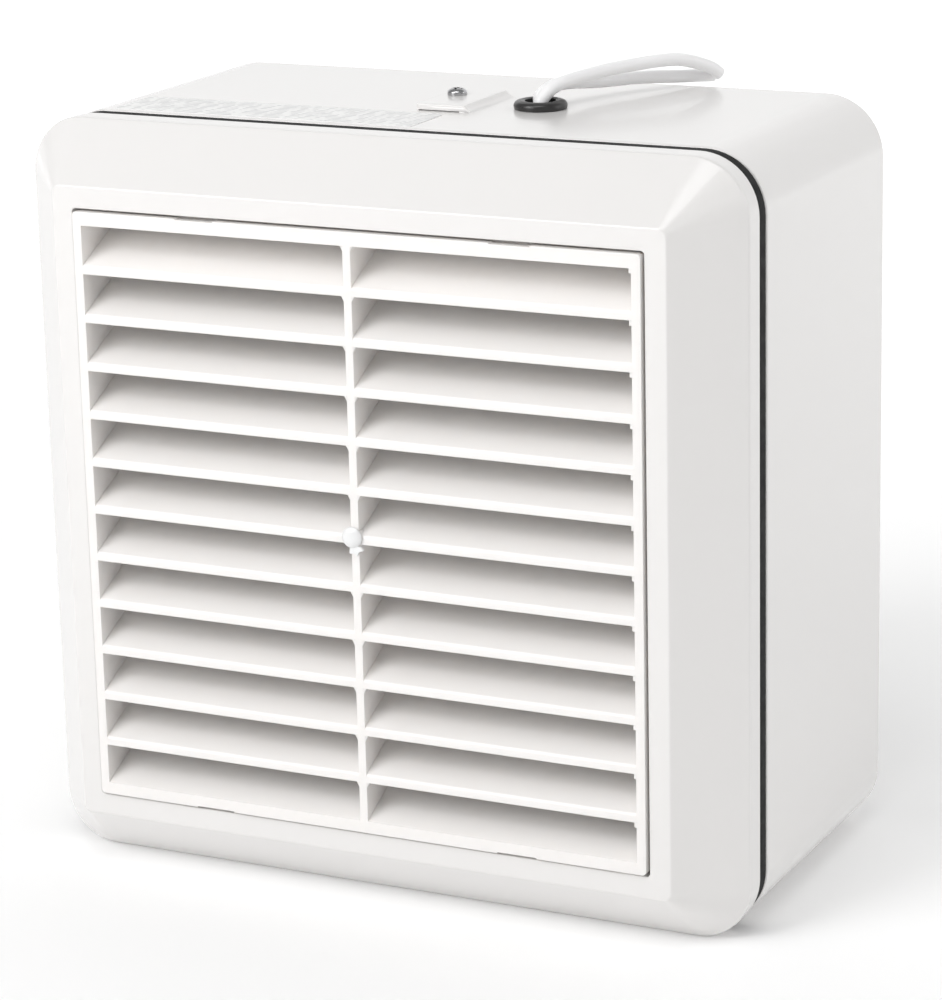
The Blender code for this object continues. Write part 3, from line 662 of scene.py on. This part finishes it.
def make_gasket():
    """A square strip of foam between bezel and casing, nearly flush with both."""
    low, high = BEZEL_DEPTH + GAP, CASING_FRONT - GAP
    section = [(FACE - inset, y, CORNER - inset, 0.5)
               for inset, y in ((0.3, low), (0.3, high), (5.5, high), (5.5, low))]
    gasket = ring_of("gasket_strip", section, "foam", steps=2)
    return dress(gasket, "housing", "seal_rubber", "front_gasket")


make_bezel()
make_gasket()

# ---------------------------------------------------------------- louvre grille


def blade_outline(top, front, back):
    """Side view of one louvre: a deep front lip whose top edge is rounded, and a sloped vane."""
    rise = (back - front) * LOUVRE_SLOPE
    corners_of = (
        (front, top - LIP_HEIGHT, 0.35),
        (front + 1.4, top - LIP_HEIGHT, 0.3),
        (front + 2.6, top - BLADE_THICK + 1.27, 1.2),
        (back, top + rise - BLADE_THICK, 0.8),
        (back, top + rise, 0.8),
        (front, top, 1.15),
    )
    return filleted(corners_of, steps=5)


def make_grille():
    """The snap-in insert: frame, mullion, louvres, clip tongues with their notches, and boss.
    Under each rail the mullion flares out, and the right end has a small gusset."""
    front, back = -GRILLE_PROUD, GRILLE_DEPTH
    inner = GRILLE - RAIL_SIDE
    pitch = CELL_HEIGHT + LIP_HEIGHT
    bottom = CELL_TOP - (LOUVRES - 1) * pitch - CELL_HEIGHT
    loops = [square_loop(GRILLE, 1.2, y, 4) for y in (front, back)]
    grille = loft("grille_insert", loops, "grille")
    cut(grille, box("window", (-inner, inner), (front - 1, back + 1), (bottom, CELL_TOP)))
    for x, side in CLIPS:
        notch_z = sorted((side * (GRILLE - 0.35), side * (GRILLE + 1)))
        cut(grille, box("notch", (x - 6.6, x + 6.6), (front - 1, 3.0), notch_z))
        tongue_z = sorted((side * (GRILLE - 2.0), side * (GRILLE - 0.8)))
        join(grille, box("tongue", (x - 6.4, x + 6.4), (back - 2, back + 5.0), tongue_z))
    join(grille, box("mullion", (-MULLION, MULLION), (front, back), (bottom - 1, CELL_TOP + 1)))
    round_edges(grille, 0.3, 2)
    bake(grille)
    for row in range(LOUVRES):
        outline = blade_outline(CELL_TOP - CELL_HEIGHT - row * pitch, front, back)
        join(grille, prism("blade", outline, -inner - 0.6, inner + 0.6, kind="grille"))
    depth = (front + 0.05, 1.0)
    wide, narrow = MULLION + 0.8, MULLION - 0.1
    for row in range(LOUVRES):
        under = CELL_TOP - row * pitch
        flare = [(wide, under + 0.3), (-wide, under + 0.3), (-wide, under), (-narrow, under - 1.7),
                 (narrow, under - 1.7), (wide, under)]
        join(grille, prism("flare", flare, *depth, "y"))
        join(grille, box("gusset", (inner - 0.7, inner + 0.5), depth, (under - 1.4, under + 0.3)))
    boss = turned("boss", [(3.1, -1.1), (3.1, 9.0)], LENS_AT, sides=40)
    join(grille, boss)
    cut(grille, hole(2.3, LENS_AT, -3.0, back + 8))
    smooth(grille, 28.0)
    even_normals(grille)
    return dress(grille, "grille", "grille_plastic", "louvre_grille")


def make_lens():
    """The clear indicator: a domed head, its stem, and a small pointed foot under the head."""
    profile = [(0.05, LENS_FRONT), (1.2, LENS_FRONT + 0.08), (2.3, LENS_FRONT + 0.35),
               (3.0, LENS_FRONT + 0.8), (LENS_HEAD, LENS_FRONT + 1.3), (LENS_HEAD, -1.45),
               (2.0, -1.4), (2.0, 12.0)]
    lens = turned("lens", profile, LENS_AT, kind="clear", sides=40)
    foot = [(-1.4, -2.0), (1.9, -2.0), (3.1, -3.1), (1.6, -3.7), (0.9, -5.0), (-0.2, -4.3),
            (-1.6, -4.4), (-1.5, -3.4)]
    foot = prism("foot", foot, -2.0, -0.9, "y", "clear")
    join(lens, foot)
    smooth(lens)
    return dress(even_normals(lens), "grille", "lens_clear", "indicator_lens")


make_grille()
make_lens()

# ---------------------------------------------------------------- casing and duct spigot

SCREW_AT = (-2.7, 81.4)
PAD_X = (-7.9, 9.8)
PAD_Y = (63.0, 94.0)
PAD_HIGH = 2.2
SPIGOT_OUT = 73.5
SPIGOT_IN = 71.0
PILLAR_FRONT = 62.8
SHUTTER_BOSS_FRONT = 128.9


def make_casing():
    """The rear box, open at the front, with a round outlet and the pad on its top."""
    inner, floor = FACE - WALL, CASING_BACK - WALL
    section = (
        (0.0, floor, 0.0, 0.0),
        (inner, floor, CORNER - WALL, 2.0),
        (inner, CASING_FRONT, CORNER - WALL, 0.4),
        (FACE, CASING_FRONT, CORNER, 0.6),
        (FACE, CASING_BACK, CORNER, 3.0),
        (0.0, CASING_BACK, 0.0, 0.0),
    )
    rounded = filleted(section, closed=False, steps=5)[1:-1]
    loops = [square_loop(w, r, y) for w, y, r in rounded]
    casing = loft("casing_box", loops, "housing")
    left, (near, far) = PAD_X[0], PAD_Y
    pad = loft("pad", [
        [(left, near, z), (PAD_X[1] + out, near, z), (PAD_X[1] + out, far, z), (left, far, z)]
        for z, out in ((FACE - 1, 1.6), (FACE, 1.0), (FACE + PAD_HIGH, -1.6))
    ])
    round_edges(pad, 0.5, 3)
    bake(pad)
    cut(pad, box("slit", (PAD_X[0] + 0.8, PAD_X[1] - 3.0), (PAD_Y[0] - 1.0, PAD_Y[0] + 2.0),
                 (FACE - 0.1, FACE + 0.3)))
    join(casing, pad)
    supports = (
        (PILLAR_AT, 5.0, PILLAR_FRONT, PILLAR_FRONT + 15),
        (SHUTTER_SCREW_AT, 4.0, SHUTTER_BOSS_FRONT, floor + 0.5),
    )
    for place, radius, front, hole_end in supports:
        for x, z in corners(place):
            post = turned("support", [(radius, front), (radius, floor + 1)], (x, z), sides=24)
            join(casing, post)
            cut(casing, hole(SCREW_HOLE, (x, z), front - 1, hole_end, sides=16))
    cut(casing, hole(SPIGOT_OUT + GAP, (0, 0), floor - 1, CASING_BACK + 1, sides=96))
    cut(casing, hole(6.0, GROMMET_AT, FACE - 6, FACE + 6, "z", 32))
    cut(casing, hole(2.05, SCREW_AT, FACE - 6, FACE + 6, "z", 24))
    smooth(casing)
    even_normals(casing)
    return dress(casing, "housing", "housing_plastic", "rear_casing")


def make_spigot():
    flange = CASING_BACK - WALL - GAP
    section = (
        (SPIGOT_IN, flange - 3.0, 0.8), (80.0, flange - 3.0, 0.5), (80.0, flange, 0.3),
        (SPIGOT_OUT, flange, 0.3), (SPIGOT_OUT, SPIGOT_END, 0.9), (SPIGOT_IN, SPIGOT_END, 0.6),
    )
    spigot = turned("spigot_ring", filleted(section), (0, 0), sides=96, ring=True)
    return dress(even_normals(spigot), "housing", "housing_plastic", "duct_spigot")


make_casing()
make_spigot()

# ---------------------------------------------------------------- fittings on the top


def cross_screw(name, centre, bearing, tip, head, high, shank, axis, kind):
    """A pan-head screw with a cross recess. bearing is where its head bears."""
    away = -1 if tip > bearing else 1
    section = (
        (0.02, bearing + away * high, 0.0), (head * 0.62, bearing + away * high, head * 0.5),
        (head, bearing + away * high * 0.55, head * 0.25), (head, bearing, 0.08),
        (shank, bearing, 0.1), (shank, tip, 0.3), (0.02, tip, 0.0),
    )
    made = turned(name, filleted(section, closed=False, steps=4), centre, axis, kind, sides=32)
    floor = bearing + away * high * 0.25
    top = bearing + away * (high + 1)
    wide, thin = head * 0.6, head * 0.14
    for a, b in ((wide, thin), (thin, wide)):
        outline = [(centre[0] - a, centre[1] - b), (centre[0] + a, centre[1] - b),
                   (centre[0] + a, centre[1] + b), (centre[0] - a, centre[1] + b)]
        cut(made, prism("recess", outline, floor, top, axis))
    smooth(made, 40.0)
    return even_normals(made)


def make_case_screw():
    screw = cross_screw("case_screw_head", SCREW_AT, FACE + PAD_HIGH + 0.05, 111.0, 3.1, 2.0, 1.75,
                        "z", "chrome")
    return dress(screw, "housing", "screw_chrome", "case_screw")


def slot_outline(radius):
    """Round-ended outline about both strands in the grommet."""
    turn = math.atan2(STRAND_SIDE[1], STRAND_SIDE[0])
    outline = []
    for end in (0, 1):
        for step in range(13):
            angle = turn + math.pi * (end - 0.5 + step / 12)
            shift = STRAND_OFFSET * (1 - 2 * end)
            outline.append((GROMMET_AT[0] + shift * math.cos(turn) + radius * math.cos(angle),
                            GROMMET_AT[1] + shift * math.sin(turn) + radius * math.sin(angle)))
    return outline


def make_grommet():
    under = FACE - WALL - GAP
    section = (
        (0.0, FACE + GROMMET_TOP - 0.5, 0.0), (4.9, FACE + GROMMET_TOP - 0.3, 0.0),
        (6.2, FACE + GROMMET_TOP, 0.9), (8.1, FACE + GROMMET_TOP - 0.5, 1.4),
        (8.4, FACE + 1.0, 0.9), (8.2, FACE + 0.05, 0.2), (5.7, FACE + 0.05, 0.2),
        (5.7, under, 0.2), (7.6, under, 0.4), (6.6, under - 2.6, 0.4),
    )
    grommet = turned("grommet_ring", filleted(section, closed=False), GROMMET_AT, "z", "rubber")
    cut(grommet, prism("slot", slot_outline(STRAND / 2 + 0.3), FACE - 8, FACE + 6, "z"))
    cut(grommet, hole(4.9, GROMMET_AT, FACE + 0.4, FACE + 6, "z", 32))
    smooth(grommet)
    even_normals(grommet)
    return dress(grommet, "housing", "grommet_rubber", "cable_grommet")


def make_label():
    low, high = node_box("rating_label")
    outline = []
    for cx, cy, quarter in ((high.x - 2, high.y - 2, 0), (low.x + 2, high.y - 2, 1),
                            (low.x + 2, low.y + 2, 2), (high.x - 2, low.y + 2, 3)):
        for step in range(7):
            turn = math.radians(90 * (quarter + step / 6))
            outline.append((cx + 2 * math.cos(turn), cy + 2 * math.sin(turn)))
    label = prism("blank_label", outline, FACE - 0.05, FACE + LABEL_THICK, "z", "label")
    return dress(label, "housing", "label_film", "rating_label")


make_case_screw()
make_grommet()
make_label()

# ---------------------------------------------------------------- plate, impeller and shutter

PLATE_FRONT = 60.0
TUNNEL = 77.0
TUNNEL_BACK = 97.5
BRACKET_BACK = PLATE_FRONT - 3.3
MOTOR_SCREW_X = 20.0
HUB = 24.0
HUB_Y = (66.0, 92.0)
SHAFT_HOLE = 2.3
IMPELLER_TIP = 75.0
IMPELLER_BLADES = 7
IMPELLER_MID = 79.0
SHUTTER_Y = 113.5
SHUTTER_HALF = 14.6
SHUTTER_IN_X = 79.0
SHUTTER_IN_Z = 76.0
SHUTTER_FRAME_Y = (98.3, 128.6)
SHUTTER_PITCH = 30.0
SHUTTER_HEIGHTS = [SHUTTER_PITCH * row for row in (2, 1, 0, -1, -2)]
CRANK_REACH = 10.0
CRANK_TURN = math.radians(40.0)
CRANK = Vector((-CRANK_REACH * math.cos(CRANK_TURN), -CRANK_REACH * math.sin(CRANK_TURN)))
LINK_LEFT = -77.2


def make_fan_plate():
    """The bulkhead with its bell-mouthed tunnel, and the posts and bosses for the screws."""
    edge, back = FACE - WALL - 0.4, PLATE_FRONT + WALL
    plate = loft("bulkhead", [
        square_loop(edge, CORNER - WALL - 0.4, y) for y in (PLATE_FRONT, back)
    ], "inner")
    cut(plate, hole(TUNNEL + 6.6, (0, 0), PLATE_FRONT - 1, back + 1, sides=96), "MANIFOLD")
    outer = TUNNEL + WALL
    throat = (
        (TUNNEL, TUNNEL_BACK, 0.5), (TUNNEL, 67.0, 8.0), (TUNNEL + 2.4, 61.8, 4.0),
        (TUNNEL + 8.0, 59.2, 0.6), (TUNNEL + 8.0, 61.5, 0.3), (TUNNEL + 4.3, 63.2, 3.0),
        (outer, 67.0, 4.0), (outer, TUNNEL_BACK, 0.5),
    )
    throat = turned("throat", filleted(throat), (0, 0), kind="inner", sides=96, ring=True)
    join(plate, throat, "MANIFOLD")
    for place, front, depth in ((POST_AT, 23.8, 16.0), (ARM_AT, PLATE_FRONT - 3, 9.0)):
        for x, z in corners(place):
            post = [(4.2, front), (4.5, front + 0.4), (4.5, back - 0.5)]
            join(plate, turned("post", post, (x, z), kind="inner", sides=32), "MANIFOLD")
            cut(plate, hole(SCREW_HOLE, (x, z), front - 1, front + depth), "MANIFOLD")
    for x, z in corners(PILLAR_AT):
        cut(plate, hole(SCREW_HOLE, (x, z), PLATE_FRONT - 1, back + 1), "MANIFOLD")
    slot = box("wire_slot", (-40.0, -32.0), (PLATE_FRONT - 1, back + 1), (97.0, 107.0))
    cut(plate, slot, "MANIFOLD")
    smooth(plate)
    return dress(even_normals(plate), "housing", "inner_plastic", "fan_plate")


def make_motor_bracket():
    """Two crossed bars with a middle disc, pressed from sheet."""
    front, back = BRACKET_BACK - 2.5, BRACKET_BACK
    reach, half = ARM_AT * math.sqrt(2) + 5.0, 4.5
    slant = math.sqrt(0.5)
    bracket = turned("bracket_disc", [(30.0, front), (30.0, back)], (0, 0), kind="sheet", sides=72)
    for sign in (1, -1):
        bar = [(-reach, -half, 4.4), (reach, -half, 4.4), (reach, half, 4.4), (-reach, half, 4.4)]
        outline = [(slant * (a - sign * b), slant * (sign * a + b)) for a, b in filleted(bar)]
        join(bracket, prism("arm", outline, front, back, "y", "sheet"))
    cut(bracket, hole(8.3, (0, 0), front - 1, back + 1, sides=48))
    for x, z in corners(ARM_AT) + [(-MOTOR_SCREW_X, 0), (MOTOR_SCREW_X, 0)]:
        cut(bracket, hole(SCREW_HOLE, (x, z), front - 1, back + 1))
    round_edges(bracket, 0.25, 2)
    return dress(bracket, "housing", "zinc_steel", "motor_bracket")


def impeller_blade(start):
    """A twisted, cambered blade that thins towards both of its edges."""
    stations, chord_steps, thick = 7, 11, 0.9
    root = HUB - 1.2
    loops = []
    for station in range(stations):
        share = station / (stations - 1)
        radius = root + (IMPELLER_TIP - root) * share
        pitch = math.radians(46 - 22 * share)
        chord = 26 + 18 * share
        sides = ([], [])
        for step in range(chord_steps):
            along = chord * (step / (chord_steps - 1) - 0.5)
            reach = abs(2 * along / chord)
            camber = 0.08 * chord * (1 - reach**2)
            for side, half in zip(sides, (thick, -thick)):
                rise = camber + half * math.sqrt(1.04 - reach**2)
                across = along * math.cos(pitch) - rise * math.sin(pitch)
                depth = along * math.sin(pitch) + rise * math.cos(pitch)
                turn = start + across / radius
                side.append((radius * math.cos(turn), IMPELLER_MID + depth,
                             radius * math.sin(turn)))
        loops.append(sides[0] + sides[1][::-1])
    return loft("blade", loops, "fan")


def make_impeller():
    lo, hi = HUB_Y
    section = (
        (HUB, lo, 2.5), (HUB, hi - 2, 0.8), (HUB - 2, hi - 2, 0.6), (HUB - 2, lo + 3, 1.0),
        (7.0, lo + 3, 0.8), (7.0, hi, 0.6), (SHAFT_HOLE, hi, 0.2), (SHAFT_HOLE, lo, 0.2),
    )
    wheel = turned("impeller_wheel", filleted(section), (0, 0), kind="fan", sides=64, ring=True)
    for number in range(IMPELLER_BLADES):
        join(wheel, impeller_blade(WHOLE_TURN * number / IMPELLER_BLADES))
    smooth(wheel)
    return dress(even_normals(wheel), "fan_rotor", "impeller_plastic", "impeller")


def make_shutter_frame():
    """The square frame with its flange, pivot holes and the window for the drive pin."""
    y0, y1 = SHUTTER_FRAME_Y
    out_x, out_z = SHUTTER_IN_X + 3.0, SHUTTER_IN_Z + 3.0
    body = box("shutter_surround", (-out_x, out_x), (y0, y1), (-out_z, out_z), "inner")
    join(body, box("flange", (-90, 90), (y1 - 2.6, y1), (-90, 90)))
    cut(body, box("inside", (-SHUTTER_IN_X, SHUTTER_IN_X), (y0 - 1, y1 + 1),
                  (-SHUTTER_IN_Z, SHUTTER_IN_Z)))
    for z in SHUTTER_HEIGHTS:
        for x in (-SHUTTER_IN_X - 5, SHUTTER_IN_X - 1):
            cut(body, hole(2.1, (SHUTTER_Y, z), x, x + 6, "x"))
    for x, z in corners(SHUTTER_SCREW_AT):
        cut(body, hole(SCREW_HOLE, (x, z), y1 - 4, y1 + 1))
    drive_z, room = CRANK.y - SHUTTER_PITCH / 2, 2.2
    window_y = (SHUTTER_Y - CRANK_REACH - room, SHUTTER_Y + CRANK.x + room)
    window_z = (drive_z - room, drive_z - 2 * CRANK.y + room)
    cut(body, box("pin_window", (-SHUTTER_IN_X - 5, -SHUTTER_IN_X + 1), window_y, window_z))
    round_edges(body, 0.4, 2)
    return dress(body, "housing", "inner_plastic", "shutter_frame")


def make_shutter_blade(number, z):
    """A thin flap with rounded edges about its barrel, with pivots, a crank arm and its pin."""
    left, right = -72.5, SHUTTER_IN_X - 0.6
    axis = Vector((SHUTTER_Y, z))
    flap = [(SHUTTER_Y + a, z + b, 0.75) for a, b in (
        (-0.8, -SHUTTER_HALF), (0.8, -SHUTTER_HALF), (0.8, SHUTTER_HALF), (-0.8, SHUTTER_HALF))]
    blade = prism(f"shutter_flap_{number}", filleted(flap), left, right, kind="shutter")
    join(blade, turned("barrel", [(2.4, left - 2.0), (2.4, right)], axis, "x", sides=32))
    pivot = [(1.5, -81.7), (1.8, -81.4), (1.8, 81.4), (1.5, 81.7)]
    join(blade, turned("pivot", pivot, axis, "x", sides=24))
    arm = [(-2.4, -2.6, 2.2), (CRANK.length, -2.4, 2.2), (CRANK.length, 2.4, 2.2), (-2.4, 2.6, 2.2)]
    slant, across = CRANK.normalized(), CRANK.orthogonal().normalized()
    outline = [tuple(axis + slant * a + across * b) for a, b in filleted(arm)]
    join(blade, prism("arm", outline, left - 2.0, left + 0.8))
    pin = axis + CRANK
    join(blade, turned("pin", [(1.3, LINK_LEFT - 0.4), (1.5, LINK_LEFT - 0.2), (1.5, left - 1.0)],
                       pin, "x", sides=24))
    smooth(blade)
    return dress(even_normals(blade), f"shutter_{number}", "shutter_plastic",
                 f"shutter_blade_{number}")


def make_inner_screws():
    """Four of each kind, at a square's corners: place, bearing, tip, head radius and height."""
    kinds = {
        "bezel": (POST_AT, 20.2, 36.0, 3.3, 2.0),
        "plate": (PILLAR_AT, 59.7, 76.0, 3.3, 2.3),
        "bracket": (ARM_AT, 53.9, 62.5, 3.3, 2.3),
        "shutter": (SHUTTER_SCREW_AT, 125.7, 131.6, 3.0, 2.3),
    }
    for kind, (place, bearing, tip, head, high) in kinds.items():
        for number, centre in enumerate(corners(place), 1):
            made = cross_screw(f"{kind}_pan_head_{number}", centre, bearing, tip, head, high, 1.5,
                               "y", "zinc")
            dress(made, "housing", "screw_steel", f"{kind}_screw_{number}")


make_fan_plate()
make_motor_bracket()
make_impeller()
make_shutter_frame()
for number, height in enumerate(SHUTTER_HEIGHTS, 1):
    make_shutter_blade(number, height)
make_inner_screws()

# ---------------------------------------------------------------- the CAD nodes that stay

CAD_FINISH = {
    "lead_tail_blue": "sheath", "lead_tail_brown": "sheath", "motor_lead": "sheath",
    "stator_core": "core", "coil_bobbin": "nylon", "coil_winding": "copper",
    "front_bearing_bracket": "sheet", "rear_bearing_bracket": "sheet",
    "front_bearing": "bronze", "rear_bearing": "bronze",
    "motor_rotor": "core", "motor_shaft": "bright", "impeller_nut": "brass",
    "shutter_link": "fan", "actuator_body": "brass", "actuator_plunger": "bright",
    "return_spring": "bright", "terminal_tray": "inner", "terminal_block": "nylon",
    "motor_screw_left": "zinc", "motor_screw_right": "zinc",
    "terminal_screw_live": "brass", "terminal_screw_neutral": "brass",
}

for node, finish in CAD_FINISH.items():
    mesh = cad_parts[node].data
    mesh.materials.clear()
    mesh.materials.append(GLOSS[finish])
